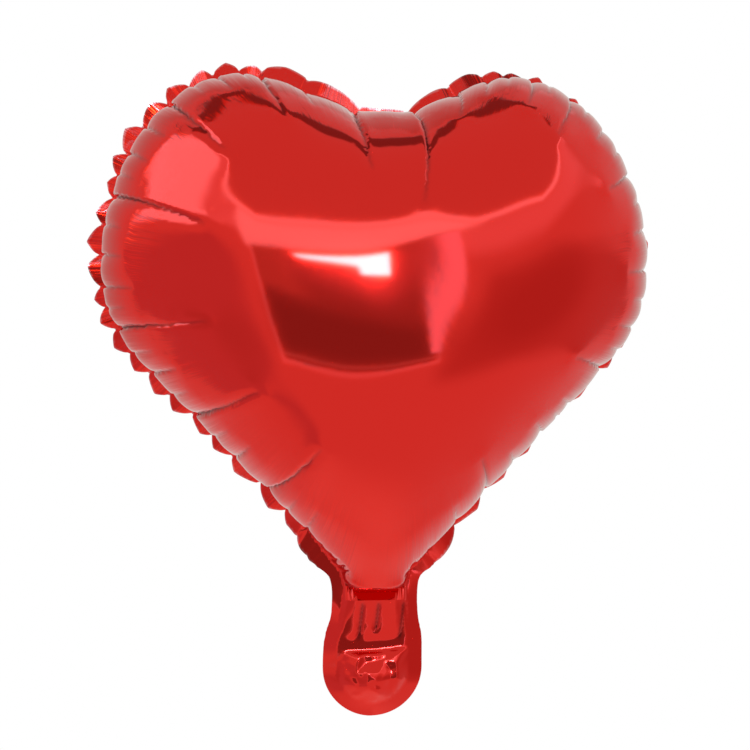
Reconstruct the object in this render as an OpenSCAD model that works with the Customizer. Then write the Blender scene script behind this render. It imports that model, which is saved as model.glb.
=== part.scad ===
// Heart-shaped foil balloon, inflated, with a flat valve tail.
// Millimetres, +Z up, front faces -Y. The origin is the neck, on the fold line
// between the inflated heart and the tail, where a ribbon or a cup holds it.

/* [Heart] */
// Width of the inflated heart between its side seams
heart_w = 353; // [300:1:400]
// Height of the widest line above the neck
wide_z = 222; // [190:1:250]
// Height of the lobe tops above the widest line
lobe_h = 117; // [100:1:135]
// Distance of each lobe top from the centre line
lobe_x = 88; // [78:1:96]
// Half the width of the flat valley between the lobes
valley_x = 17; // [10:1:24]
// Thickness limit of the heart, which rounds its middle off
swell = 148; // [120:1:180]

/* [Lower sides] */
// Radius of the curve from the widest line into the straight lower side
side_r = 112; // [95:1:130]
// Angle of the straight lower side from the vertical
side_a = 43.5; // [40:0.5:46]
// Half the width of the inflated neck
neck_x = 20; // [16:1:24]
// Height of the end of the neck above the fold line
neck_z = 3; // [2.5:0.5:5]

/* [Seal flange] */
// Width of the sealed margin outside the seam, on a scallop
flange_w = 10; // [8:0.5:14]
// Share of the margin that is left in the pleat between two scallops
pleat = 0.45; // [0.3:0.05:0.8]

/* [Tail] */
// Width of the tail where it leaves the neck
tail_top_w = 58; // [50:1:64]
// Largest width of the tail
tail_w = 65; // [56:1:72]
// Length of the tail below the fold line
tail_l = 77; // [66:1:90]
// Width of the sealed margin of the tail
tail_margin = 9; // [6:0.5:12]
// Thickness limit of the slack pouch in the tail
tail_swell = 13; // [6:1:16]
// Length of flat tail between the fold line and the pouch
pouch_drop = 14; // [10:1:24]

/* [Valve] */
// Width of each valve film
valve_w = 20; // [14:1:22]
// Height of the valve films above the fold line, inside the heart
valve_up = 74; // [50:1:100]
// Distance from the tail's mouth to the valve films
valve_inset = 5; // [3:1:8]

/* [Film] */
// Thickness of one film in this model
film_t = 0.5; // [0.4:0.05:0.8]
// Half the height of the slot that the valve films pass through
slot_h = 0.6; // [0.5:0.05:0.8]
// Distance of each film edge from the fold line
hinge_gap = 1.5; // [1.4:0.1:2]

/* [Hidden] */

foil_red = [0.80, 0.10, 0.10];
foil_back_red = [0.70, 0.08, 0.08];
valve_grey = [0.85, 0.87, 0.88];

half_w = heart_w / 2;
top_z = wide_z + lobe_h;
// Where the curved side passes into the straight lower side
bend_x = half_w - side_r + side_r * cos(side_a);
bend_z = wide_z - side_r * sin(side_a);
// Where the straight side meets the neck
foot_z = bend_z - (bend_x - neck_x) / tan(side_a);
// Height of the valley between the lobes
valley_z = wide_z + sqrt(lobe_h * lobe_h - (lobe_x - valley_x) * (lobe_x - valley_x));
valley_a = acos((valley_x - lobe_x) / lobe_h);

// Points along each stretch of half the heart's outline
side_n = 15;
bend_n = 9;
lobe_n = 16;
inner_n = 9;
// Points of the margin for each scallop
scallop_n = 3;
// Rings of each film between its middle and its seam
rings = 9;
tail_rings = 6;

// Right half of the heart's seam, from the neck up to the middle of the valley
heart_half = concat(
    [for (x = [0 : neck_x / 3 : neck_x + 0.01]) [x, neck_z]],
    [for (k = [0 : side_n - 1])
        [neck_x, foot_z] + (k / side_n) * [bend_x - neck_x, bend_z - foot_z]],
    [for (k = [0 : bend_n - 1]) let (a = -side_a * (1 - k / bend_n))
        [half_w - side_r + side_r * cos(a), wide_z + side_r * sin(a)]],
    [for (k = [0 : lobe_n - 1]) let (a = 90 * k / lobe_n)
        [lobe_x + (half_w - lobe_x) * cos(a), wide_z + lobe_h * sin(a)]],
    [for (k = [0 : inner_n]) let (a = 90 + (valley_a - 90) * k / inner_n)
        [lobe_x + lobe_h * cos(a), wide_z + lobe_h * sin(a)]],
    [[valley_x / 2, valley_z], [0, valley_z]]);

// Half the width of the heart at height z
function heart_x(z) =
    z > wide_z ? lobe_x + (half_w - lobe_x) * root(1 - pow((z - wide_z) / lobe_h, 2))
    : z > bend_z ? half_w - side_r + root(side_r * side_r - pow(wide_z - z, 2))
    : neck_x + max(0, z - foot_z) * tan(side_a);

// Height of the heart's upper edge and lower edge at distance x from the middle
function heart_top(x) =
    abs(x) > lobe_x ? wide_z + lobe_h * root(1 - pow((abs(x) - lobe_x) / (half_w - lobe_x), 2))
    : abs(x) > valley_x ? wide_z + root(lobe_h * lobe_h - pow(lobe_x - abs(x), 2))
    : valley_z;
function heart_bottom(x) =
    abs(x) > bend_x ? wide_z - root(side_r * side_r - pow(abs(x) - half_w + side_r, 2))
    : abs(x) > neck_x ? foot_z + (abs(x) - neck_x) / tan(side_a)
    : neck_z;

function root(v) = sqrt(max(0, v));

// Half the thickness of an inflated film at p: each chord through p swells to a circle,
// and the smallest circle and the limit round each other off
function swell_y(p, half_x, top, bottom, limit) =
    let (across = half_x * half_x - p.x * p.x, upright = (top - p.y) * (p.y - bottom))
    (across <= 0 || upright <= 0) ? 0
    : 1 / sqrt(1 / across + 1 / upright + 1 / (limit * limit));
heart_y = function (p) swell_y(p, heart_x(p.y), heart_top(p.x), heart_bottom(p.x), swell);

// Outward normal of an open half outline at point k
function normal(line, k) =
    let (a = line[max(0, k - 1)], b = line[min(len(line) - 1, k + 1)], d = b - a)
    [d.y, -d.x] / norm(d);

// Outer edge of the margin: scallops along the heart, cut square at the neck
heart_edge_half = [for (k = [0 : len(heart_half) - 1]) let (p = heart_half[k])
    k < 4 ? [p.x * tail_top_w / 2 / neck_x, hinge_gap]
    : k == 4 ? [tail_top_w / 2 + 1, foot_z - 4]
    : p + normal(heart_half, k) * flange_w * (k % scallop_n == 0 ? pleat : 1)];

// The tail's outer edge, from its mouth up to the fold line
end_r = tail_w / 2;
end_n = 10;
tail_edge_half = concat(
    [for (k = [0 : end_n]) let (a = -90 + 90 * k / end_n)
        [end_r * cos(a), end_r - tail_l + end_r * sin(a)]],
    [for (k = [1 : 4]) let (s = k / 4)
        [end_r - (end_r - tail_top_w / 2) * s * s,
         (end_r - tail_l) + (tail_l - end_r - hinge_gap) * s]],
    [for (x = [neck_x : -neck_x / 3 : -0.01]) [x, -hinge_gap]]);

// The seam of the tail's pouch, inside its margin
tail_mid = [0, (end_r - tail_l) * 0.9];
pouch_r = end_r - tail_margin;
pouch_half = [for (k = [0 : len(tail_edge_half) - 1]) let (p = tail_edge_half[k])
    k <= end_n ? [p.x * pouch_r / end_r, end_r - tail_l + (p.y - end_r + tail_l) * pouch_r / end_r]
    : k <= end_n + 4 ? [pouch_r - (k - end_n) * (pouch_r - neck_x) / 4,
        end_r - tail_l + (tail_l - end_r - pouch_drop) * (k - end_n) / 4]
    : [p.x, -pouch_drop]];
function pouch_x(z) = z < end_r - tail_l ? root(pouch_r * pouch_r - pow(z - end_r + tail_l, 2))
    : pouch_r;
function pouch_bottom(x) = end_r - tail_l - root(pouch_r * pouch_r - x * x);
tail_y = function (p) swell_y(p, pouch_x(p.y), -pouch_drop, pouch_bottom(p.x), tail_swell);

// A half outline and its mirror image as one closed loop
function closed(half) = concat(half, [for (k = [len(half) - 2 : -1 : 1]) [-half[k].x, half[k].y]]);

// One film as a thin closed shell: a dome over the seam, and a flat margin out to the edge.
// Its mating face lies on y = 0, and steps back to the slot where the valve films pass.
module film(seam_half, edge_half, middle, depth, count, slots) {
    seam = closed(seam_half);
    edge = closed(edge_half);
    n = len(seam);
    mate = [for (k = [0 : n - 1]) slots(seam[k]) ? -slot_h : 0];
    inward = 1 - film_t / 100;
    step = [for (r = [1 : count]) 1 - pow(1 - r / count, 2)];
    outer = [for (r = [0 : count - 2]) for (k = [0 : n - 1])
        let (p = middle + step[r] * (seam[k] - middle)) [p.x, -film_t - slot_h - depth(p), p.y]];
    rim = concat(
        [for (k = [0 : n - 1]) [seam[k].x, mate[k] - film_t, seam[k].y]],
        [for (k = [0 : n - 1]) [edge[k].x, mate[k] - film_t, edge[k].y]],
        [for (k = [0 : n - 1]) [edge[k].x, mate[k], edge[k].y]],
        [for (k = [0 : n - 1]) let (p = middle + inward * (seam[k] - middle)) [p.x, mate[k], p.y]]);
    inner = [for (r = [count - 2 : -1 : 0]) for (k = [0 : n - 1])
        let (q = middle + step[r] * (seam[k] - middle), p = middle + inward * (q - middle))
        [p.x, -slot_h - inward * depth(q), p.y]];
    points = concat([[middle.x, -film_t - slot_h - depth(middle), middle.y]], outer, rim, inner,
        [[middle.x, -slot_h - inward * depth(middle), middle.y]]);
    loops = 2 * (count - 1) + 4;
    last = len(points) - 1;
    function at(r, k) = 1 + r * n + k % n;
    faces = concat(
        [for (k = [0 : n - 1]) [0, at(0, k + 1), at(0, k)]],
        [for (r = [0 : loops - 2]) for (k = [0 : n - 1])
            each [[at(r, k), at(r, k + 1), at(r + 1, k + 1)], [at(r, k), at(r + 1, k + 1), at(r + 1, k)]]],
        [for (k = [0 : n - 1]) [last, at(loops - 1, k), at(loops - 1, k + 1)]]);
    polyhedron(points = points, faces = faces, convexity = 10);
}

heart_slot = function (p) p.y < neck_z + 0.1 && abs(p.x) < neck_x - 1;
tail_slot = function (p) abs(p.x) < valve_w / 2 + 5;

module heart_film() film(heart_half, heart_edge_half, [0, wide_z - 12], heart_y, rings, heart_slot);
module tail_film() film(pouch_half, tail_edge_half, tail_mid, tail_y, tail_rings, tail_slot);

// A flat strip of valve film, with its face 0.05 mm off the middle plane
module valve_strip(from_z, to_z) {
    strip_t = slot_h - 0.2;
    translate([-valve_w / 2, -0.05 - strip_t, from_z]) cube([valve_w, strip_t, to_z - from_z]);
}

module front_panel() color(foil_red) heart_film();
module back_panel() color(foil_back_red) mirror([0, 1, 0]) heart_film();
module valve_front_film() color(valve_grey) valve_strip(hinge_gap, valve_up);
module valve_back_film() color(valve_grey) mirror([0, 1, 0]) valve_strip(hinge_gap, valve_up);
module tail_front_film() color(foil_red) tail_film();
module tail_back_film() color(foil_back_red) mirror([0, 1, 0]) tail_film();
module valve_mouth_front() color(valve_grey) valve_strip(valve_inset - tail_l, -hinge_gap);
module valve_mouth_back() color(valve_grey) mirror([0, 1, 0]) valve_strip(valve_inset - tail_l, -hinge_gap);

front_panel();
back_panel();
valve_front_film();
valve_back_film();
tail_front_film();
tail_back_film();
valve_mouth_front();
valve_mouth_back();
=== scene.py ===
"""Looks of the inflated heart-shaped foil balloon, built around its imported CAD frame.

Metres are used for objects and millimetres for the film's own arithmetic. +Z is up, the
front faces -Y, and the origin is the fold line at the neck.
"""

import math

import bpy
import numpy as np
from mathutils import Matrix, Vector
from mathutils.kdtree import KDTree
from mathutils.geometry import delaunay_2d_cdt


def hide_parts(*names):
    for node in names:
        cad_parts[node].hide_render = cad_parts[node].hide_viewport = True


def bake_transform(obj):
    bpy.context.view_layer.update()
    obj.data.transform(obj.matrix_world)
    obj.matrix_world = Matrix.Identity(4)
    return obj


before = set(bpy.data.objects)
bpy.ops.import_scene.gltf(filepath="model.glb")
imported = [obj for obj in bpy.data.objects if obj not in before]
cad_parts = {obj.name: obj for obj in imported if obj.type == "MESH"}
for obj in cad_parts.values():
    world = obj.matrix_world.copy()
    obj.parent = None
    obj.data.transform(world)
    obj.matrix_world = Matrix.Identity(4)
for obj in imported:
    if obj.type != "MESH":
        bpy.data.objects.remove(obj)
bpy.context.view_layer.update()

MM = 0.001
SEED = 11

# ---------------------------------------------------------------- sizes, in millimetres
FLANGE = 12.0            # sealed margin outside the seam
NECK = 22.0              # half the width of the channel at the neck
FLAT_HALF = 208.0        # flat film, from the middle to the side seam
FLAT_WIDE = 256.0        # height of the widest line above the neck, flat
FLAT_LOBE = 149.0        # height of the flat lobes above the widest line
FLAT_LOBE_X = 70.0       # where each flat lobe is highest
FLAT_NOTCH = 144.0       # height of the flat notch above the widest line
FLAT_SIDE_R = 215.0      # radius of the flat lower side
TAIL_TOP = 31.0          # half the width of the tail at the neck
TAIL_HALF = 34.0         # half the width of the tail at its widest
TAIL_LONG = 80.0         # length of the flat tail
TAIL_MARGIN = 9.5        # sealed margin of the tail
TAIL_SHRINK = 0.963      # how much of its flat size the tail keeps

HEART_HALF = 180.0       # inflated heart, from the middle to its edge
WIDE_Z = 214.0           # height of its widest line
LOBE_H = 127.5           # height of its lobes above that line
LOBE_X = 88.0            # where each lobe is highest
NOTCH_Z = 319.0          # height of the film's edge at the notch
VALLEY = 9.0             # half the width of the level floor between the lobes
SIDE_R = 83.0            # curve into the straight lower side
SIDE_A = 43.5            # slope of the lower side from the vertical, in degrees
CORNER = (16.5, 7.0)     # where the edge turns up from its level foot above the neck
SWELL = 150.0            # thickness limit of the middle
INSET = 6.0              # how far the film's edge rolls out over the seam
NOTCH_INSET = 13.0       # the same at the notch
ROLL = 11.0              # half the thickness of the rolled edge
NOTCH_ASIDE = 9.0        # how far the seam's notch sits to the right
MARGIN_TURN = -62.0      # angle round the neck's corner below which the margin is the tail's
MARGIN_BLEND = 54.0      # degrees over which the heart's margin runs into the tail's

FINE = 1.6               # spacing of the mesh near the seam
COARSE = 4.6             # spacing of the mesh in the middle
BAND = 46.0              # width of the fine band inside the seam
CREASE_BAND = 8.0        # half the width of the fine band along a long crease
GAP = 0.55 * FINE        # least distance of a loose point from a seam or cut
WIDE_GAP = 0.4 * COARSE  # least distance of the coarse points from the fine ones

TUCK_SIDES = (1.5, 5.0)  # reach of a tuck's steep side and of its gentle side
DISH = 11.0              # reach of the shallow dish round each tuck
FOLD_LINE = 0.9          # half the width of the worn line along a fold
SHARP_FROM = 2.3         # depth from which a tuck has a sharp edge
PILLOW = 1.7             # greatest height of the film between two tucks
PILLOW_RUN = 26.0        # how far in from the seam the pillows fade

# Fold lines of the tail's panel: place across the tail, depth and lower end.
TAIL_LINES = ((-8.5, 2.0, -28), (2.0, 1.8, -22), (18.5, 1.2, -28))

# Pleats of each half: distance along the seam from the neck, length of the crease as seen
# from the front, depth at the seam, and how far the crease leans towards the notch. Half of
# the places were worked out by a separate script, from points picked by eye on a photograph
# of the balloon. The rest, and all lengths, depths and leans, were chosen one by one.
LEFT_PLEATS = [
    (9, 8, 2.0, -9), (14, 8, 2.4, -8), (19, 8, 2.4, -6), (24, 7, 2.0, -3), (30, 7, 1.8, 0),
    (44, 6, 2.0, 0), (62, 5, 1.6, 0), (86, 32, 4.8, -20), (111, 8, 2.6, 0), (130, 6, 1.8, 0),
    (149, 34, 4.8, -5), (168, 6, 1.6, 0), (187, 9, 2.8, 0), (205, 6, 1.8, 0), (223, 38, 4.8, 2),
    (239, 5, 1.6, 0), (253, 10, 3.0, 0), (274, 7, 2.4, 0), (293, 6, 1.8, 0), (312, 46, 5.2, 5),
    (327, 6, 1.8, 0), (342, 8, 2.6, 0), (362, 9, 2.6, 0), (385, 36, 5.0, -3), (403, 6, 1.8, 0),
    (420, 9, 2.8, 0), (436, 6, 1.8, 0), (451, 24, 4.2, -7), (477, 10, 2.8, 0), (511, 46, 5.6, -2)]
RIGHT_PLEATS = [
    (10, 8, 3.2, -4), (24, 6, 2.0, 0), (50, 6, 1.8, 0), (79, 17, 4.0, 4), (105, 7, 2.2, 0),
    (131, 9, 3.0, 2), (146, 5, 1.6, 0), (158, 7, 2.2, 0), (189, 20, 4.2, 3), (207, 6, 1.8, 0),
    (225, 8, 2.6, 0), (245, 6, 2.0, 0), (265, 12, 3.2, 0), (292, 9, 2.8, 0), (311, 6, 1.8, 0),
    (330, 18, 4.0, 0), (347, 6, 1.8, 0), (364, 9, 2.6, 0), (381, 6, 1.8, 0), (397, 24, 4.2, -8),
    (411, 6, 1.6, 0), (425, 16, 3.6, -4), (440, 6, 1.8, 0), (455, 9, 2.6, 0), (480, 18, 3.2, -9),
    (517, 67, 6.6, -30)]


# ---------------------------------------------------------------- outlines
def ease(x):
    """Smooth step from 0 to 1."""
    x = np.clip(x, 0, 1)
    return x * x * (3 - 2 * x)


def arc(cx, cz, rx, rz, start, end, count):
    """Points along an elliptical arc, without its first point."""
    a = np.radians(np.linspace(start, end, count + 1)[1:])
    return np.stack([cx + rx * np.cos(a), cz + rz * np.sin(a)], 1)


def heart_half(half, wide_z, lobe_h, lobe_x, notch_z, side_r, side_end, valley=0.0):
    """Right half of a heart's outline, from side_end up to the notch on the middle line.
    valley is half the width of a level floor in the notch."""
    side = arc(half - side_r, wide_z, side_r, side_r, side_end, 0, 40)
    shoulder = arc(lobe_x, wide_z, half - lobe_x, lobe_h, 0, 90, 60)
    drop = wide_z + lobe_h - notch_z
    if valley:
        x = np.linspace(lobe_x, valley, 40)[1:]
        z = wide_z + lobe_h - drop * ease((lobe_x - x) / (lobe_x - valley))
        return np.vstack([side, shoulder, np.stack([x, z], 1), [[0.0, notch_z]]])
    r = (lobe_x ** 2 + drop ** 2) / (2 * drop)
    last = 90 + math.degrees(math.asin(lobe_x / r))
    inner = arc(lobe_x, wide_z + lobe_h - r, r, r, 90, last, 40)
    return np.vstack([side, shoulder, inner])


def flat_half():
    """Right half of the flat seam: the straight lower side leaves the neck as a tangent."""
    cx, cz = FLAT_HALF - FLAT_SIDE_R, FLAT_WIDE
    d = math.hypot(cx - NECK, cz)
    slope = math.atan2(cz, cx - NECK) - math.asin(FLAT_SIDE_R / d)
    reach = math.sqrt(d * d - FLAT_SIDE_R ** 2)
    foot = np.array([NECK, 0.0])
    touch = foot + reach * np.array([math.cos(slope), math.sin(slope)])
    end = math.degrees(math.atan2(touch[1] - cz, touch[0] - cx))
    heart = heart_half(FLAT_HALF, FLAT_WIDE, FLAT_LOBE, FLAT_LOBE_X,
                       FLAT_WIDE + FLAT_NOTCH, FLAT_SIDE_R, end)
    return np.vstack([foot, touch, heart])


def full_half():
    """Right half of the full balloon's edge."""
    a = math.radians(SIDE_A)
    bend = np.array([HEART_HALF - SIDE_R + SIDE_R * math.cos(a), WIDE_Z - SIDE_R * math.sin(a)])
    foot = np.array([NECK, bend[1] - (bend[0] - NECK) / math.tan(a)])
    heart = heart_half(HEART_HALF, WIDE_Z, LOBE_H, LOBE_X, NOTCH_Z, SIDE_R, -SIDE_A, VALLEY)
    return np.vstack([[CORNER, [20.5, 11.5]], foot + [0, 3], bend, heart])


def along(line):
    """Distance along an open line at each of its points."""
    return np.concatenate([[0], np.cumsum(np.linalg.norm(np.diff(line, axis=0), axis=1))])


def at(line, s):
    """Points of an open line at distances s."""
    t = along(line)
    return np.stack([np.interp(s, t, line[:, k]) for k in range(line.shape[1])], -1)


def even(line, spacing):
    """An open line with evenly spaced points, its ends kept."""
    t = along(line)
    return at(line, np.linspace(0, t[-1], max(2, int(round(t[-1] / spacing)) + 1)))


def unit(v):
    """Vectors of length 1, one to a row."""
    return v / np.maximum(np.linalg.norm(v, axis=-1, keepdims=True), 1e-9)


def outward(line):
    """Unit normals of an open line, to the right of its direction."""
    d = np.gradient(line, axis=0)
    return unit(np.stack([d[:, 1], -d[:, 0]], 1))


def bezier(p, count):
    """Points along a cubic curve, without its first point."""
    t = np.linspace(0, 1, count + 1)[1:, None]
    return ((1 - t) ** 3 * p[0] + 3 * (1 - t) ** 2 * t * p[1]
            + 3 * (1 - t) * t ** 2 * p[2] + t ** 3 * p[3])


def tail_half(top, half, bottom, radius):
    """Right half of a tail outline, from its lowest point up to the neck."""
    round_end = arc(0, bottom + radius, radius, radius, -90, 0, 16)
    t = np.linspace(0, 1, 13)[1:]
    side = np.stack([half + (top - half) * t ** 2, (bottom + radius) * (1 - t)], 1)
    return np.vstack([[0, bottom], round_end, side])


def cut_half():
    """Right half of the cut edge of the flat film, from the tail's end to the notch."""
    seam = flat_half()
    edge = even(seam + outward(seam) * FLANGE, 3.0)
    edge = edge[(edge[:, 1] > 9) & (edge[:, 0] >= 0)]
    edge = np.vstack([edge, [0, edge[-1, 1]]])
    tail = tail_half(TAIL_TOP, TAIL_HALF, -TAIL_LONG, TAIL_HALF)
    tail = tail[tail[:, 1] < -10]
    leave = edge[0] - 12 * unit(edge[1] - edge[0])
    fillet = bezier([tail[-1], tail[-1] + [0, 9], leave, edge[0]], 14)
    return np.vstack([tail, fillet[:-1], edge])


def closed(half):
    """A half outline that starts and ends on the middle line, with its mirror image."""
    return np.vstack([half, (half * [-1, 1])[::-1][1:-1]])


def ring(loop, spacing):
    """A closed loop, evenly spaced."""
    return even(np.vstack([loop, loop[:1]]), spacing)[:-1]


def inside(loop, p):
    """Which points lie inside a closed loop."""
    x, y = p[:, 0], p[:, 1]
    hit = np.zeros(len(p), bool)
    for a, b in zip(loop, np.roll(loop, -1, 0)):
        rises = (a[1] > y) != (b[1] > y)
        hit ^= rises & (x < (b[0] - a[0]) * (y - a[1]) / (b[1] - a[1] + 1e-12) + a[0])
    return hit


def distance(line, p, loop=True):
    """Distance from each point to a line."""
    if loop:
        line = np.vstack([line, line[:1]])
    close = even(line, 0.12)
    tree = KDTree(len(close))
    for i, q in enumerate(close):
        tree.insert((q[0], q[1], 0), i)
    tree.balance()
    return np.array([tree.find((q[0], q[1], 0))[2] for q in p])


# ---------------------------------------------------------------- from flat to full
FLAT_CENTRE = np.array([0.0, 215.0])
FULL_CENTRE = np.array([0.0, 190.0])
flat_line = even(np.vstack([[0, 0], flat_half()]), 1.0)
full_line = even(np.vstack([[0, CORNER[1]], full_half()]), 1.0)
FLAT_FOOT, FULL_FOOT = 22, 17               # each line's index at the corner of the neck
FLAT_TOTAL, FULL_TOTAL = along(flat_line)[-1] - NECK, along(full_line)[-1] - NECK
GATHER = FULL_TOTAL / FLAT_TOTAL


def to_full(s):
    """Distance along the full edge from the neck, for a distance along the flat seam."""
    return np.where(s > 0, s * GATHER, s)


def film_length(place, seen):
    """Length along the film of a crease that looks this long from the front."""
    if place < 40:
        return 6 + 1.4 * seen
    return ROLL + 70 * math.acos(1 - seen / 70)


def seam_distance(p):
    """Distance from the neck along the right half's flat seam, and share of the way from
    the flat centre to it, of flat points."""
    v = np.stack([np.abs(p[:, 0]), p[:, 1] - FLAT_CENTRE[1]], 1)
    q = flat_line - FLAT_CENTRE
    a, b = np.arctan2(v[:, 0], v[:, 1]), np.arctan2(q[:, 0], q[:, 1])
    order = np.argsort(b)
    s = np.interp(a, b[order], along(flat_line)[order])
    reach = np.linalg.norm(at(flat_line, s) - FLAT_CENTRE, axis=1)
    return s - NECK, np.linalg.norm(v, axis=1) / reach


def swell(p):
    """Half the thickness of the full heart at p: chords through p swell to circles, and
    the smallest of them and the limit round each other off."""
    x, z = np.abs(p[:, 0]), p[:, 1]
    widest = np.argmax(full_line[:, 0])
    low, high = full_line[FULL_FOOT:widest + 1], full_line[widest:]
    upper = LOBE_X + (HEART_HALF - LOBE_X) * np.sqrt(
        np.clip(1 - ((z - WIDE_Z) / LOBE_H) ** 2, 0, 1))
    half = np.where(z < WIDE_Z, np.interp(z, low[:, 1], low[:, 0]), upper)
    top = np.interp(x, high[::-1, 0], high[::-1, 1])
    bottom = np.interp(x, low[:, 0], low[:, 1])
    bottom[x < CORNER[0]] = CORNER[1]
    across = np.maximum(half ** 2 - x ** 2, 1e-6)
    upright = np.maximum((top - z) * (z - bottom), 1e-6)
    return 1 / np.sqrt(1 / across + 1 / upright + 1 / SWELL ** 2)


def meridians(rows=360, steps=160):
    """For directions along the full edge, the share of the way out from the centre that
    lies at even distances along the film."""
    s = np.linspace(-NECK, FULL_TOTAL, rows)
    share = np.sin(np.linspace(0, math.pi / 2, steps))
    even_share = np.zeros((rows, steps))
    for row, rim in enumerate(at(full_line, s + NECK)):
        q = FULL_CENTRE + share[:, None] * (rim - FULL_CENTRE)
        y = swell(q)
        y[-1] = 0
        t = along(np.column_stack([q, y]))
        even_share[row] = np.interp(np.linspace(0, 1, steps), t / t[-1], share)
    return s, even_share


MERIDIAN_S, MERIDIAN = meridians()


def film_share(s, t):
    """Share of the way out from the full centre, from the share along the film."""
    i = np.interp(s, MERIDIAN_S, np.arange(len(MERIDIAN_S)))
    j = np.clip(t, 0, 1) * (MERIDIAN.shape[1] - 1)
    i0 = np.clip(i.astype(int), 0, MERIDIAN.shape[0] - 2)
    j0 = np.clip(j.astype(int), 0, MERIDIAN.shape[1] - 2)
    a, b = i - i0, j - j0
    return ((1 - a) * (1 - b) * MERIDIAN[i0, j0] + a * (1 - b) * MERIDIAN[i0 + 1, j0]
            + (1 - a) * b * MERIDIAN[i0, j0 + 1] + a * b * MERIDIAN[i0 + 1, j0 + 1])


# ---------------------------------------------------------------- the flat mesh
def crease_lines():
    """Flat lines along each pleat, so that mesh edges run along the folds."""
    lines = []
    for sign, rows in ((-1, LEFT_PLEATS), (1, RIGHT_PLEATS)):
        for place, seen, _, lean in rows:
            length = film_length(place, seen)
            u = np.arange(FINE, length, FINE)
            deep = u
            for _ in range(3 if lean else 1):
                s = (place + lean * deep / length) / GATHER
                rim = at(flat_line, s + NECK)
                line = rim + unit(FLAT_CENTRE - rim) * u[:, None]
                if lean:
                    deep = distance(flat_line[FLAT_FOOT:], line, loop=False)
            lines.append(line * [sign, 1])
    return lines


def lattice(low, high, spacing):
    """Points of a triangular lattice over a box."""
    rows = np.arange(low[1], high[1], spacing * math.sqrt(3) / 2)
    xs = np.arange(low[0], high[0], spacing)
    return np.array([(x + spacing / 2 * (j % 2), z) for j, z in enumerate(rows) for x in xs])


def flat_mesh():
    """The flat film: points, triangles that face -Y, and each point's distance from the
    seam, which is negative on the margin."""
    pouch_r = TAIL_HALF - TAIL_MARGIN
    tail = tail_half(NECK, pouch_r, -TAIL_LONG + TAIL_MARGIN, pouch_r)
    seam = ring(closed(np.vstack([tail[:-1], flat_line[FLAT_FOOT:]])), FINE)
    cut = ring(closed(cut_half()), FINE)
    count = int(round(2 * NECK / FINE))
    neck = np.stack([np.linspace(-NECK, NECK, count + 1)[1:-1], np.zeros(count - 1)], 1)
    creases = crease_lines()
    low, high = cut.min(0) - COARSE, cut.max(0) + COARSE
    fine = lattice(low, high, FINE)
    fine = fine[inside(cut, fine)]
    near = distance(seam, fine)
    held = inside(seam, fine)
    keep = (near < BAND) | ~held
    for line in creases:
        if len(line) * FINE > BAND:
            keep |= distance(line, fine, loop=False) < CREASE_BAND
    fine, near = fine[keep], near[keep]
    clear = (near > GAP) & (distance(cut, fine) > GAP)
    clear &= (np.abs(fine[:, 1]) > GAP) | (np.abs(fine[:, 0]) > NECK)
    for line in creases:
        box = (np.abs(fine - line.mean(0)) < 60).all(1) & clear
        clear[box] = distance(line, fine[box], loop=False) > 0.5 * FINE
    fine = fine[clear]
    coarse = lattice(low, high, COARSE)
    coarse = coarse[inside(seam, coarse)]
    coarse = coarse[distance(seam, coarse) > BAND + WIDE_GAP]
    for line in creases:
        if len(line) * FINE > BAND:
            coarse = coarse[distance(line, coarse, loop=False) > CREASE_BAND + WIDE_GAP]
    points = np.vstack([seam, cut, neck] + creases + [fine, coarse])
    ns, nc = len(seam), len(cut)
    edges = [(i, (i + 1) % ns) for i in range(ns)]
    edges += [(ns + i, ns + (i + 1) % nc) for i in range(nc)]
    edges += [(ns + nc + i, ns + nc + i + 1) for i in range(len(neck) - 1)]
    first = ns + nc + len(neck)
    for line in creases:
        edges += [(first + i, first + i + 1) for i in range(len(line) - 1)]
        first += len(line)
    made = delaunay_2d_cdt([Vector(p) for p in points], edges, [], 1, 1e-5)
    points = np.array([tuple(p) for p in made[0]])
    faces = np.array(made[2])
    a, b, c = (points[faces[:, k]] for k in range(3))
    turn = (b[:, 0] - a[:, 0]) * (c[:, 1] - a[:, 1]) - (b[:, 1] - a[:, 1]) * (c[:, 0] - a[:, 0])
    faces[turn < 0] = faces[turn < 0][:, ::-1]
    depth = distance(seam, points)
    depth[~inside(seam, points) & (depth > 0.02)] *= -1
    return points, faces, depth


# ---------------------------------------------------------------- mesh helpers
def edges_of(faces):
    """Each edge of a triangle mesh once, as a pair of point numbers."""
    e = np.vstack([faces[:, [0, 1]], faces[:, [1, 2]], faces[:, [2, 0]]])
    return np.unique(np.sort(e, 1), axis=0)


def relax(co, edges, weight, rounds):
    """Smooths points towards their neighbours' mean by each point's own weight."""
    count = np.bincount(edges.ravel(), minlength=len(co))[:, None]
    co = co.copy()
    for _ in range(rounds):
        total = np.zeros_like(co)
        for k in range(3):
            total[:, k] = (np.bincount(edges[:, 0], co[edges[:, 1], k], len(co))
                           + np.bincount(edges[:, 1], co[edges[:, 0], k], len(co)))
        co += weight[:, None] * (total / count - co)
    return co


def normals(co, faces):
    """Vertex normals."""
    n = np.cross(co[faces[:, 1]] - co[faces[:, 0]], co[faces[:, 2]] - co[faces[:, 0]])
    out = np.zeros_like(co)
    for k in range(3):
        for j in range(3):
            out[:, k] += np.bincount(faces[:, j], n[:, k], len(co))
    return unit(out)


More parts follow.
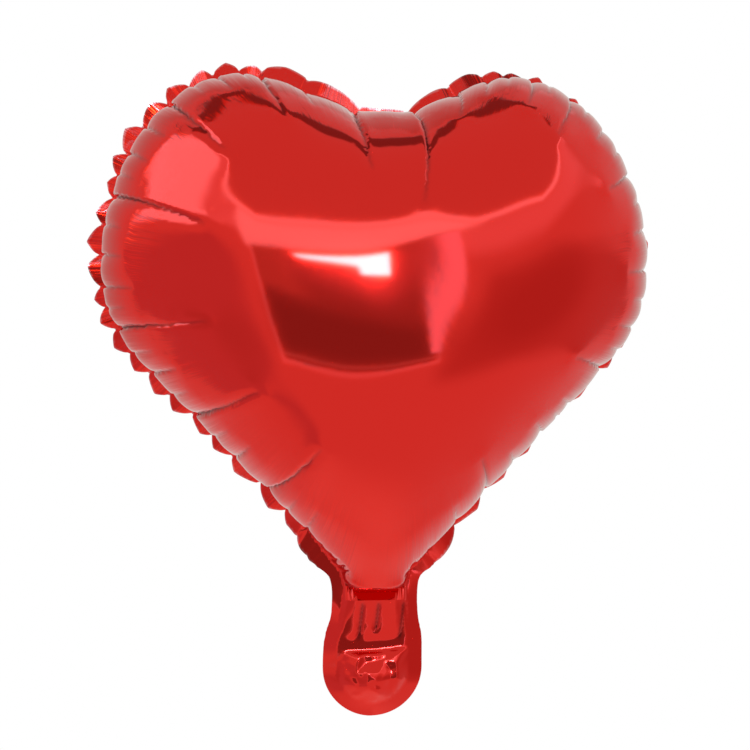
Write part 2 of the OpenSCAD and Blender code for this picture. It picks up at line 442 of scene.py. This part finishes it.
def facets(p, spacing, height, rng):
    """Crumpled foil: heights interpolated over a random net of flat facets."""
    low, high = p.min(0) - 2 * spacing, p.max(0) + 2 * spacing
    knots = lattice(low, high, spacing)
    knots = knots + rng.uniform(-0.38, 0.38, knots.shape) * spacing
    lift = rng.uniform(-1, 1, len(knots)) * height
    net = delaunay_2d_cdt([Vector(k) for k in knots], [], [], 0, 1e-5)
    out = np.zeros(len(p))
    for i, j, k in net[2]:
        a, b, c = knots[i], knots[j], knots[k]
        m = np.linalg.inv(np.array([b - a, c - a]).T)
        w = (p - a) @ m.T
        hit = (w[:, 0] >= -1e-9) & (w[:, 1] >= -1e-9) & (w.sum(1) <= 1 + 1e-9)
        out[hit] = lift[i] + w[hit, 0] * (lift[j] - lift[i]) + w[hit, 1] * (lift[k] - lift[i])
    return out


# ---------------------------------------------------------------- the full film
def pleat_field(s, u, t, side, rng, back):
    """Over one film: depth of the tucks, strength of the painted shade along their fold lines,
    which points lie on a sharp fold, height of the pillows, and the margin's width and its wave
    to and fro."""
    groove, crease, sharp, pillow, pinch, zig = (np.zeros(len(s)) for _ in range(6))
    weld = np.random.default_rng(SEED + 1)      # the welded margin is the same for both films
    for sign, rows in ((-1, LEFT_PLEATS), (1, RIGHT_PLEATS)):
        pick = side == sign
        sp, up, tp = s[pick], np.maximum(u[pick], 0), np.clip(t[pick], 0.2, 1)
        g, shade_along_fold, fold = np.zeros(len(sp)), np.zeros(len(sp)), np.zeros(len(sp), bool)
        for number, (place, seen, deep, lean) in enumerate(rows):
            reach = film_length(place, seen)
            length = reach
            if back:
                length *= rng.uniform(0.6, 1.25)
            x = (sp - place - lean * up / reach) * tp
            steep = np.where((x < 0) == (number % 2 == 0), *TUCK_SIDES)
            fade = np.clip(1 - up / length, 0, 1) ** 0.65 * (0.6 + 0.4 * ease(up / 14))
            g = np.maximum(g, deep * fade * np.exp(-np.abs(x) / steep))
            g = np.maximum(g, 0.30 * deep * fade * np.exp(-(x / DISH) ** 2))
            # painted shade: how much the base colour darkens along this fold line, more for
            # deeper tucks
            line = np.clip(1 - up / length, 0, 1) ** 0.4 * min(deep / 3.6, 1)
            shade_along_fold = np.maximum(shade_along_fold, line * np.exp(-(x / FOLD_LINE) ** 2) * ease((up - 1) / 5))
            if deep > SHARP_FROM:
                fold |= (np.abs(x) < 0.4) & (up > 0.5) & (up < 0.9 * length)
        groove[pick], crease[pick], sharp[pick] = g, shade_along_fold, fold
        places = np.array([0] + [r[0] for r in rows] + [FULL_TOTAL + (FULL_TOTAL - rows[-1][0])])
        cell = np.clip(np.searchsorted(places, sp) - 1, 0, len(places) - 2)
        gap = places[cell + 1] - places[cell]
        f = np.clip((sp - places[cell]) / gap, 0, 1)
        rise = np.minimum(0.055 * gap, PILLOW)
        pillow[pick] = rise * (1 - np.abs(2 * f - 1) ** 2.6) * np.exp(-up / PILLOW_RUN)
        near = np.minimum(f, 1 - f) * gap
        peak = weld.uniform(0.3, 0.7, len(places))[cell]
        tent = np.minimum(f / peak, (1 - f) / (1 - peak))
        size = weld.uniform(0.70, 1.1, len(places))[cell] * np.minimum((gap / 20) ** 0.5, 1)
        pinch[pick] = size * (0.50 + 0.50 * tent ** 0.8)
        swing = np.where(cell % 2 == 0, 1, -1) * weld.uniform(0.4, 1.0, len(places))[cell]
        zig[pick] = swing * tent * np.minimum(gap / 26, 1)
    return groove, crease, sharp > 0, pillow, pinch, zig


def film(layer, seed):
    """One film of the balloon, front (layer -1) or back (1), full of gas. Gives its points,
    their distance along the edge, how much painted shade each has along a fold line and whether
    it lies on a sharp fold."""
    rng = np.random.default_rng(seed)
    back = layer > 0
    side = film_side
    heart = flat[:, 1] > 0
    turn = np.degrees(np.arctan2(flat[:, 1], np.abs(flat[:, 0]) - NECK))
    on_margin = (depth < -0.02) & (turn > MARGIN_TURN)
    s_flat, t = seam_distance(flat)
    s_flat = np.where(on_margin, near_seam, s_flat)
    s = to_full(s_flat)
    rim = at(full_line, s + NECK)
    share = film_share(s, t)
    q = FULL_CENTRE + share[:, None] * (rim - FULL_CENTRE)
    y = swell(q)
    y[(t >= 0.9999) | (depth <= 0.02)] = 0
    co = np.column_stack([q[:, 0] * side, layer * y, q[:, 1]])
    high = np.exp(-(co[:, 0] / 40) ** 2) * (co[:, 2] > 270)
    loose = np.where(heart & (depth > 0), ease((depth - 5 + 4 * high) / (25 - 15 * high)), 0)
    loose[(flat[:, 1] < 14)] = 0
    co = relax(co, film_edges, loose * 0.6, 60)

    # the edge rolls out over the seam
    line_normal = np.stack([np.interp(s + NECK, along(full_line), outward(full_line)[:, k])
                            for k in (0, 1)], 1)
    out = unit(np.column_stack([line_normal[:, 0] * side, np.zeros(len(s)), line_normal[:, 1]]))
    notch = np.exp(-(np.abs(co[:, 0]) / 24) ** 2) * (co[:, 2] > FULL_CENTRE[1])
    out = unit(out * (1 - notch[:, None] ** 0.5) + np.array([0, 0, 1]) * notch[:, None] ** 0.5)
    inset = INSET + (NOTCH_INSET - INSET) * notch
    inset = (inset - 3 * np.exp(-((s - 470) / 40) ** 2)) * ease((s - 8) / 45)
    thick = ROLL * (1 + 0.5 * notch)
    rolled = np.where(heart, inset * np.exp(-(co[:, 1] / thick) ** 2), 0)

    # tucks, pillows and slow unevenness
    groove, crease, sharp, pillow, pinch, zig = pleat_field(s, depth, t, side, rng, back)
    calm = ease((s + NECK) / 16)
    groove, crease, pillow = groove * calm, crease * calm, pillow * calm
    n = normals(co, film_faces if layer < 0 else film_faces[:, ::-1])
    inner = ease(depth / 12)[:, None]
    way = unit(out * (1 - inner) + n * inner)
    waves = np.zeros(len(s))
    for _ in range(9):
        a, k = rng.uniform(0, 2 * math.pi), 2 * math.pi / rng.uniform(55, 130)
        waves += np.sin(k * (co[:, 0] * math.cos(a) + co[:, 2] * math.sin(a))
                        + rng.uniform(0, 2 * math.pi))
    uneven = 0.10 * waves * ease(depth / 40)
    inside_seam = heart & (depth > -0.02)
    shift = np.where(inside_seam, pillow - groove + uneven, 0)
    moved = co - out * rolled[:, None] + way * shift[:, None]

    # the sealed margin: flat scallops between the pleats, leaning back
    margin = np.maximum(-depth, 0)
    foot = rim * np.column_stack([side, np.ones(len(s))])
    foot = np.column_stack([foot[:, 0], np.zeros(len(s)), foot[:, 1]])
    foot = foot - out * inset[:, None] + out * (pillow - groove)[:, None]
    crown = np.exp(-((s - 495) / 55) ** 2)
    neck = 1 - ease((s - 35) / 30)
    lean = np.where(side < 0, 0.20 + 0.35 * ease((250 - s) / 60), 0.58) * (1 - notch)
    tall = pinch + (1.02 - pinch) * crown
    tall = tall * (1 - neck) + neck
    lean = lean * (1 - neck) + 0.15 * neck
    zig = zig * (1 - neck) * (1 - 0.6 * crown)
    reach = np.sqrt(1 - lean ** 2)
    flange = foot + out * (margin * tall * reach)[:, None]
    flange[:, 1] = margin * (lean * tall + 0.26 * zig) + layer * 0.12
    moved[on_margin] = flange[on_margin]

    # the tail
    low = flat[:, 1] < 6
    # the tail's fold lines carry painted shade as well
    tail, crease[low] = tail_shape(flat[low], depth[low], layer, rng)
    sealed = 1 - ease((turn[low] - MARGIN_TURN) / MARGIN_BLEND)
    mix = np.where(depth[low] < 0.02, sealed, flat[low, 1] <= 0)[:, None]
    moved[low] = moved[low] * (1 - mix) + tail * mix

    # the margin runs smoothly from the heart into the tail
    corner = np.hypot(np.abs(flat[:, 0]) - NECK - 9, flat[:, 1])
    slack = np.where(depth < -0.5, 0.6 * np.exp(-(corner / 13) ** 2), 0)
    moved = relax(moved, film_edges, slack, 40)

    # the notch sits a little to one side, behind the level floor between the lobes
    aside = np.exp(-(moved[:, 0] / 50) ** 2 - (moved[:, 1] / 22) ** 2)
    moved[:, 0] += NOTCH_ASIDE * aside * ease((moved[:, 2] - 290) / 25)
    sharp = (sharp & heart) | ((np.abs(flat[:, 1]) < 0.01) & (np.abs(flat[:, 0]) < NECK + 0.1))
    return moved, s, crease, sharp


def tail_shape(p, depth, layer, rng):
    """The tail: a smooth panel below the neck, then a fold, a crumpled pouch and a margin.
    Gives its points and how strong the painted shade is along the fold lines of the panel."""
    x, z = p[:, 0] * TAIL_SHRINK, p[:, 1] * TAIL_SHRINK
    within = np.clip(depth / 9, 0, 1) ** 0.55
    crown = 1 - (1 - np.clip(depth / 23, 0, 1)) ** 2
    edge = -30.5 - 2.5 * np.cos((x + 9) / 16)
    pouch = ease((edge - z) / 4)
    crumple = facets(p, 10.0, 1.7, rng) + facets(p, 5.5, 0.7, rng)
    upper = 5.4 - 5.0 * np.clip(-z / 28, 0, 1) + 0.08 * crumple
    lower = 8.5 * crown * (0.5 + 0.5 * ease((edge - z) / 26)) + crumple * within
    puff = 0.35 + within * upper * (1 - pouch) + lower * pouch
    fold_shade = np.zeros(len(x))
    for place, drop, end in TAIL_LINES:
        run = ease(-z / 4) * ease((z - end) / 4)
        off = np.abs(x - place - 0.06 * z)
        puff -= drop * run * within * np.exp(-off / 1.3)
        # painted shade along each fold line of the panel
        fold_shade = np.maximum(fold_shade, 0.8 * run * np.exp(-(off / 1.1) ** 2) * (depth > 2))
    clear_of_valve = 0.8 * np.clip(depth / 3, 0, 1)
    margin = np.maximum(-depth, 0)
    low = ease((-40 - z) / 25)
    wave = margin * ease(-z / 8) * (0.30 + 0.15 * low)
    wave += np.sin(z / 6.5 + np.sign(x)) * 0.06 * margin
    y = layer * np.maximum(puff, 0.15 + clear_of_valve) + wave
    return np.column_stack([x - 1.4 * ease(-z / 45), y, z]), fold_shade


def nearest_seam(p):
    """Distance from the neck, along the flat seam, of each point's nearest place on it."""
    tree = KDTree(len(flat_line))
    for i, q in enumerate(flat_line):
        tree.insert((q[0], q[1], 0), i)
    tree.balance()
    index = np.array([tree.find((abs(q[0]), q[1], 0))[1] for q in p])
    line = np.clip(index, FLAT_FOOT + 1, len(flat_line) - 2)
    step = unit(flat_line[line + 1] - flat_line[line - 1])
    p = np.column_stack([np.abs(p[:, 0]), p[:, 1]])
    return along(flat_line)[index] - NECK + ((p - flat_line[index]) * step).sum(1)


flat, film_faces, depth = flat_mesh()
near_seam = np.maximum(nearest_seam(flat), 0)
film_side = np.where(flat[:, 0] < 0, -1, 1)
film_edges = edges_of(film_faces)
front_co, film_s, front_fold_shade, front_sharp = film(-1, SEED)
back_co, _, back_fold_shade, back_sharp = film(1, SEED)


# ---------------------------------------------------------------- materials
FOIL_RED = (0.63, 0.007, 0.001, 1)      # the film's mirror
FOLD_SHADE_RED = (0.15, 0.002, 0.001, 1)      # the same darkened: painted shade along a fold line
CUT_RIM_LIGHT = (0.62, 0.20, 0.19, 1)        # painted highlight along the film's cut edge, lighter than the foil


def node(tree, kind, place, **values):
    """A new shader node at a place in the node editor, with its properties set."""
    n = tree.nodes.new(kind)
    n.location = place
    for key, value in values.items():
        setattr(n, key, value)
    return n


def foil_material():
    """Red metallised film: a tinted mirror under a glossy clear coat, finely uneven, with painted
    shade along the fold lines and a painted highlight on the cut edge.
    """
    m = bpy.data.materials.new("red_foil")
    m.use_nodes = True
    tree = m.node_tree
    b = tree.nodes["Principled BSDF"]
    b.inputs["Base Color"].default_value = FOIL_RED
    # painted light in the base colour: painted shade along the fold lines (red channel), painted
    # highlight on the cut edge (green channel)
    fold_shade_and_rim_light = node(tree, "ShaderNodeAttribute", (-1100, 400), attribute_name="fold_shade_and_rim_light")
    parts = node(tree, "ShaderNodeSeparateColor", (-900, 400))
    tree.links.new(fold_shade_and_rim_light.outputs["Color"], parts.inputs[0])
    folded = node(tree, "ShaderNodeMix", (-650, 400), data_type="RGBA")
    folded.inputs["A"].default_value = FOIL_RED
    folded.inputs["B"].default_value = FOLD_SHADE_RED
    tree.links.new(parts.outputs["Red"], folded.inputs["Factor"])
    # painted highlight mixed in along the cut edge
    edged = node(tree, "ShaderNodeMix", (-400, 400), data_type="RGBA")
    edged.inputs["B"].default_value = CUT_RIM_LIGHT
    tree.links.new(folded.outputs["Result"], edged.inputs["A"])
    tree.links.new(parts.outputs["Green"], edged.inputs["Factor"])
    tree.links.new(edged.outputs["Result"], b.inputs["Base Color"])
    b.inputs["Metallic"].default_value = 1.0
    b.inputs["Coat Weight"].default_value = 1.0
    b.inputs["Coat Roughness"].default_value = 0.06
    b.inputs["Coat IOR"].default_value = 1.30
    # roughness: a little cloudier in soft patches
    place = node(tree, "ShaderNodeTexCoord", (-1100, 0))
    cloud = node(tree, "ShaderNodeTexNoise", (-900, 0))
    cloud.inputs["Scale"].default_value = 9.0
    cloud.inputs["Detail"].default_value = 3.0
    tree.links.new(place.outputs["Object"], cloud.inputs["Vector"])
    rough = node(tree, "ShaderNodeMapRange", (-650, 0))
    rough.inputs["To Min"].default_value = 0.06
    rough.inputs["To Max"].default_value = 0.11
    tree.links.new(cloud.outputs["Fac"], rough.inputs["Value"])
    tree.links.new(rough.outputs["Result"], b.inputs["Roughness"])
    # comb wrinkles that run in from the seam, and a fine grain
    film_map = node(tree, "ShaderNodeUVMap", (-1500, -300), uv_map="film")
    split = node(tree, "ShaderNodeSeparateXYZ", (-1300, -300))
    tree.links.new(film_map.outputs["UV"], split.inputs[0])
    stretch = node(tree, "ShaderNodeMapping", (-1100, -300))
    stretch.inputs["Scale"].default_value = (260.0, 16.0, 1.0)
    tree.links.new(film_map.outputs["UV"], stretch.inputs["Vector"])
    comb = node(tree, "ShaderNodeTexNoise", (-900, -300))
    comb.inputs["Scale"].default_value = 1.0
    comb.inputs["Detail"].default_value = 2.0
    comb.inputs["Roughness"].default_value = 0.6
    tree.links.new(stretch.outputs["Vector"], comb.inputs["Vector"])
    fade = node(tree, "ShaderNodeMapRange", (-900, -600), interpolation_type="SMOOTHSTEP")
    fade.inputs["From Min"].default_value = 0.075
    fade.inputs["From Max"].default_value = 0.030
    tree.links.new(split.outputs["Y"], fade.inputs["Value"])
    combed = node(tree, "ShaderNodeMath", (-650, -400), operation="MULTIPLY")
    tree.links.new(comb.outputs["Fac"], combed.inputs[0])
    tree.links.new(fade.outputs["Result"], combed.inputs[1])
    bump = node(tree, "ShaderNodeBump", (-400, -400))
    bump.inputs["Strength"].default_value = 0.9
    bump.inputs["Distance"].default_value = 0.0010
    tree.links.new(combed.outputs["Value"], bump.inputs["Height"])
    grain = node(tree, "ShaderNodeTexNoise", (-900, -800))
    grain.inputs["Scale"].default_value = 60.0
    grain.inputs["Detail"].default_value = 2.0
    tree.links.new(place.outputs["Object"], grain.inputs["Vector"])
    fine = node(tree, "ShaderNodeBump", (-200, -500))
    fine.inputs["Strength"].default_value = 0.10
    fine.inputs["Distance"].default_value = 0.0006
    tree.links.new(grain.outputs["Fac"], fine.inputs["Height"])
    tree.links.new(bump.outputs["Normal"], fine.inputs["Normal"])
    tree.links.new(fine.outputs["Normal"], b.inputs["Normal"])
    return m


def valve_material():
    """Clear soft film of the filling valve, slightly milky."""
    m = bpy.data.materials.new("valve_film")
    m.use_nodes = True
    tree = m.node_tree
    b = tree.nodes["Principled BSDF"]
    b.inputs["Base Color"].default_value = (0.86, 0.88, 0.88, 1)
    b.inputs["Roughness"].default_value = 0.28
    b.inputs["Transmission Weight"].default_value = 0.75
    b.inputs["IOR"].default_value = 1.50
    place = node(tree, "ShaderNodeTexCoord", (-700, 0))
    ripple = node(tree, "ShaderNodeTexNoise", (-500, 0))
    ripple.inputs["Scale"].default_value = 90.0
    tree.links.new(place.outputs["Object"], ripple.inputs["Vector"])
    bump = node(tree, "ShaderNodeBump", (-250, 0))
    bump.inputs["Strength"].default_value = 0.3
    bump.inputs["Distance"].default_value = 0.0005
    tree.links.new(ripple.outputs["Fac"], bump.inputs["Height"])
    tree.links.new(bump.outputs["Normal"], b.inputs["Normal"])
    return m


foil = foil_material()
clear = valve_material()


# ---------------------------------------------------------------- pieces
def mesh_piece(name, co, faces, material, uv=None):
    """A smooth mesh object from points in millimetres."""
    mesh = bpy.data.meshes.new(name)
    mesh.from_pydata((co * MM).tolist(), [], faces.tolist())
    mesh.materials.append(material)
    mesh.polygons.foreach_set("use_smooth", np.ones(len(mesh.polygons), bool))
    if uv is not None:
        layer = mesh.uv_layers.new(name="film")
        layer.data.foreach_set("uv", uv[faces.ravel()].ravel())
    obj = bpy.data.objects.new(name, mesh)
    bpy.context.scene.collection.objects.link(obj)
    return obj


NO_COMB = 0.2            # a UV height, in metres, at which the comb wrinkles have faded out
half_way = np.minimum(np.abs(film_s + NECK), FULL_TOTAL - np.abs(film_s))
film_uv = np.column_stack([film_side * half_way, np.maximum(depth, 0)]) * MM
film_uv[(flat[:, 1] < 4) | ((depth < 0) & (film_s < 60)), 1] = NO_COMB
front_foil = mesh_piece("front_foil", front_co, film_faces, foil, film_uv)
back_foil = mesh_piece("back_foil", back_co, film_faces[:, ::-1], foil, film_uv)
for obj, lines, sharp in ((front_foil, front_fold_shade, front_sharp),
                          (back_foil, back_fold_shade, back_sharp)):
    above = (flat[film_faces, 1] > 0.01).sum(1)
    folded = (above > 0) & (above < 3) & (np.abs(flat[film_faces, 0]).max(1) < NECK)
    obj.data.polygons.foreach_set("use_smooth", ~folded)
    ends = np.zeros(2 * len(obj.data.edges), int)
    obj.data.edges.foreach_get("vertices", ends)
    obj.data.attributes.new("sharp_edge", "BOOLEAN", "EDGE").data.foreach_set(
        "value", sharp[ends].reshape(-1, 2).all(1))
    # painted shade along the fold lines, only inside the seam
    fold_shade = np.where(depth > 0, lines, 0)
    # painted highlight on the outermost millimetre of the cut edge
    painted_cut_rim_light = np.clip(1 - (FLANGE + depth) / 1.0, 0, 1) * (depth < 0)
    colour = np.column_stack([fold_shade, painted_cut_rim_light, np.zeros(len(flat)), np.ones(len(flat))])
    obj.data.attributes.new("fold_shade_and_rim_light", "FLOAT_COLOR", "POINT").data.foreach_set(
        "color", colour.ravel())


for obj, nodes in ((front_foil, ("front_panel", "tail_front_film")),
                   (back_foil, ("back_panel", "tail_back_film"))):
    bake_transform(obj)
    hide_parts(*nodes)


# ---------------------------------------------------------------- the valve inside
VALVE_WIDE = 20.0        # width of the strip
VALVE_UP = 74.0          # how far it reaches above the neck
VALVE_DOWN = 60.0        # how far it reaches down into the tail


def valve_sheet(name, layer):
    """One clear film of the valve: a strip from inside the heart down into the tail."""
    xs = np.linspace(-VALVE_WIDE / 2, VALVE_WIDE / 2, 11)
    zs = np.linspace(-VALVE_DOWN, VALVE_UP, 68)
    rows = []
    for z in zs:
        lift = 0.10 + 0.35 * ease(abs(z) / 20) * (1 + 0.4 * np.sin(z / 6.0 + layer))
        curl = lift * (1 - (2 * xs / VALVE_WIDE) ** 2)
        sway = 3.0 * ease(z / 40) * math.sin(z / 24.0) if z > 0 else 0.0
        rows.append(np.column_stack([xs, layer * (0.02 + curl) + sway, np.full(len(xs), z)]))
    co = np.vstack(rows)
    n = len(xs)
    quads = [(j * n + i, j * n + i + 1, (j + 1) * n + i + 1, (j + 1) * n + i)
             for j in range(len(zs) - 1) for i in range(n - 1)]
    quads = np.array(quads)
    if layer > 0:
        quads = quads[:, ::-1]
    return mesh_piece(name, co, quads, clear)


for name, layer, nodes in (("valve_front", -1, ("valve_front_film", "valve_mouth_front")),
                           ("valve_back", 1, ("valve_back_film", "valve_mouth_back"))):
    obj = valve_sheet(name, layer)
    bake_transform(obj)
    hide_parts(*nodes)


# ---------------------------------------------------------------- camera
AZIMUTH, ELEVATION = -8.0, 1.5
DISTANCE = 1.425
LENS = 105.0
TARGET = Vector((0.0, 0.0, 0.1465))


def toward(azimuth, elevation):
    """Direction of a view in degrees: azimuth 0 is the front."""
    a, e = math.radians(azimuth), math.radians(elevation)
    return Vector((math.sin(a) * math.cos(e), -math.cos(a) * math.cos(e), math.sin(e)))


camera = bpy.data.objects.new("camera", bpy.data.cameras.new("camera"))
camera.data.lens = LENS
camera.location = TARGET + toward(AZIMUTH, ELEVATION) * DISTANCE
camera.rotation_euler = (-toward(AZIMUTH, ELEVATION)).to_track_quat("-Z", "Y").to_euler()
bpy.context.scene.collection.objects.link(camera)
bpy.context.scene.camera = camera


# ---------------------------------------------------------------- studio
world = bpy.data.worlds.new("studio")
world.use_nodes = True
world.node_tree.nodes["Background"].inputs["Color"].default_value = (1, 1, 1, 1)
world.node_tree.nodes["Background"].inputs["Strength"].default_value = 1.0
bpy.context.scene.world = world
bpy.context.scene.view_settings.view_transform = "Standard"


def ramp(x, edge, soft):
    """0 below an edge, 1 above it, over a soft width."""
    return ease((x - edge) / soft + 0.5)


def patch(az, el, a0, a1, e0, e1, soft):
    """A soft-edged rectangle of the studio, in degrees of azimuth and elevation."""
    return (ramp(az, a0, soft) * ramp(-az, -np.asarray(a1), soft)
            * ramp(el, e0, soft) * ramp(-el, -np.asarray(e1), soft))


def blob(az, el, a, e, width, height):
    """A soft-edged oval of the studio, round azimuth a and elevation e."""
    return ease(1.4 - np.sqrt(((az - a) / width) ** 2 + ((el - e) / height) ** 2))


def studio_light(az, el):
    """Light of the room that the foil mirrors, by direction: azimuth 0 is the front."""
    level = np.ones((len(az), 3))

    def lay(mask, colour):
        """Lays a colour over the studio where the mask is 1."""
        level[:] = level * (1 - mask[:, None]) + np.asarray(colour) * mask[:, None]

    x = np.sin(np.radians(az)) * np.cos(np.radians(el))
    y = -np.cos(np.radians(az)) * np.cos(np.radians(el))
    line = np.interp(az, [-95, -63, -33, -15, -1, 10, 21, 38, 51, 71, 95],
                     [56, 42, 26, 17, 18, 21, 18, 19, 26, 37, 46])
    top = 8 + (az + 18) / 34 * 8
    # pale walls, a greyer back, the ceiling and the soft light along its edge. The edge's
    # points, and the sides of the opening, softbox and strip below, were set by hand from
    # mirrored directions that a separate script worked out for points of the photograph.
    lay(ramp(np.abs(az), 112, 50), (0.74, 0.69, 0.66))
    lay(ramp(-el, 30, 40), (0.99, 0.99, 0.99))
    lay(ramp(-el, 62, 26), (1.15, 1.35, 1.3))
    lay(patch(az, el, -120, 150, line, 95, 3) * 0.9, (0.90, 0.90, 0.90))
    lay(patch(az, el, -44, 75, line - 9, line, 6) * 0.8, (1.3, 1.9, 2.2))
    lay(patch(az, el, -22, 24, top, line, 2.5) * 0.9, (1.8, 4.6, 5.6))
    lay(patch(az, el, -48, 72, line, line + 1.6, 1.0), (1.9, 4.2, 5.0))
    # grey flags to the left and right, a soft panel high on the left, a dark batten above
    lay(patch(az, el, -84, -28, -46, 4, 7), (0.78, 0.72, 0.85))
    lay(blob(az, el, -44, -22, 16, 12) * 0.5, (0.62, 0.5, 0.5))
    lay(patch(az, el, 25, 90, -28, 4, 9), (0.76, 0.60, 0.60))
    lay(blob(az, el, 46, -10, 20, 14) * 0.75, (0.62, 0.40, 0.40))
    low, right = 12 + (az + 73) / 40 * 6, -33 - (el - 18) * 0.9
    lay(patch(az, el, -81, right, low + 2, 42, 8), (1.8, 4.4, 5.6))
    lay(ramp(0.10 - np.abs(y + 0.11), 0, 0.04) * (np.abs(x) < 0.55) * (el > 0),
        (0.30, 0.26, 0.26))
    # the open front: a darker opening with a softbox and a tall soft strip
    left, right = -19.3 + (el - 8) * 0.08, 16 - (el - 16) * 0.20
    bottom = -25 + (az + 22) / 45 * 7 - 1.5 * np.cos(np.radians(az * 4))
    lay(patch(az, el, left - 1.4, right + 1.0, bottom - 3.6, top, 0.8), (1.35, 1.8, 2.0))
    lay(patch(az, el, left, right, bottom - 2.0, top, 0.8), (0.30, 0.2, 0.2))
    lay(patch(az, el, left, right, bottom - 1.2, top, 0.8), (0.95, 1.2, 1.2))
    lay(patch(az, el, left, right, bottom, top, 0.8), (0.50, 0.46, 0.46))
    lay(patch(az, el, left, -8, -4, top, 5) * 0.8, (0.78, 0.75, 0.7))
    lay(patch(az, el, left, right, bottom, -6, 9) * 0.7, (0.30, 0.27, 0.27))
    middle = 15 + (16 - el) / 32 * 7
    thin = 1.8 - (16 - el) / 32 * 0.6
    lay(patch(az, el, middle - thin, middle + thin, -17, top, 0.9), (1.7, 3.2, 4.6))
    glow = np.exp(-(((az - 3) / 8) ** 2 + ((el - 8) / 6) ** 2))[:, None]
    level += glow * (0.9, 0.9, 1.2)
    box = patch(az, el, -6.5, 9.2, 7 + az * 0.12, top - 1.2, 0.8)
    box *= 1 - patch(az, el, -8, 1.2, 0, 9, 1.4)
    lay(box, (30.0, 46.0, 60.0))
    return level


def studio_dome():
    """A dome round the room, seen in reflections only, that carries the studio's light."""
    step, radius = 0.5, 4.0
    azs, els = np.arange(-180, 180, step), np.arange(-90, 90 + step, step)
    a, e = (g.ravel() for g in np.meshgrid(azs, els))
    ra, re = np.radians(a), np.radians(e)
    co = np.column_stack([np.sin(ra) * np.cos(re), -np.cos(ra) * np.cos(re), np.sin(re)])
    co = co * radius + (0, 0, 0.2)
    n = len(azs)
    quads = [(j * n + i, j * n + (i + 1) % n, (j + 1) * n + (i + 1) % n, (j + 1) * n + i)
             for j in range(len(els) - 1) for i in range(n)]
    mesh = bpy.data.meshes.new("studio_dome")
    mesh.from_pydata(co.tolist(), [], quads)
    colour = mesh.attributes.new("light", "FLOAT_COLOR", "POINT")
    colour.data.foreach_set("color", np.column_stack([studio_light(a, e),
                                                      np.ones(len(a))]).ravel())
    m = bpy.data.materials.new("studio_light")
    m.use_nodes = True
    tree = m.node_tree
    tree.nodes.clear()
    glow = node(tree, "ShaderNodeEmission", (0, 0))
    end = node(tree, "ShaderNodeOutputMaterial", (200, 0))
    source = node(tree, "ShaderNodeAttribute", (-200, 0), attribute_name="light")
    tree.links.new(source.outputs["Color"], glow.inputs["Color"])
    tree.links.new(glow.outputs["Emission"], end.inputs["Surface"])
    m.cycles.emission_sampling = "NONE"
    mesh.materials.append(m)
    obj = bpy.data.objects.new("studio_dome", mesh)
    obj.visible_camera = False
    bpy.context.scene.collection.objects.link(obj)


studio_dome()


FLOOR_RADIUS, FLOOR_HEIGHT, FLOOR_SIDES = 2.3, -0.6, 96


def floor():
    """A pale floor well below the floating balloon."""
    mesh = bpy.data.meshes.new("floor")
    ring_points = [(FLOOR_RADIUS * math.cos(t), FLOOR_RADIUS * math.sin(t), FLOOR_HEIGHT)
                   for t in np.linspace(0, 2 * math.pi, FLOOR_SIDES + 1)[:-1]]
    mesh.from_pydata(ring_points, [], [tuple(range(FLOOR_SIDES))])
    m = bpy.data.materials.new("pale_floor")
    m.use_nodes = True
    b = m.node_tree.nodes["Principled BSDF"]
    b.inputs["Base Color"].default_value = (0.8, 0.8, 0.8, 1)
    b.inputs["Roughness"].default_value = 0.9
    b.inputs["Emission Color"].default_value = (1, 1, 1, 1)
    b.inputs["Emission Strength"].default_value = 0.2
    mesh.materials.append(m)
    obj = bpy.data.objects.new("floor", mesh)
    obj.visible_glossy = False
    bpy.context.scene.collection.objects.link(obj)


floor()
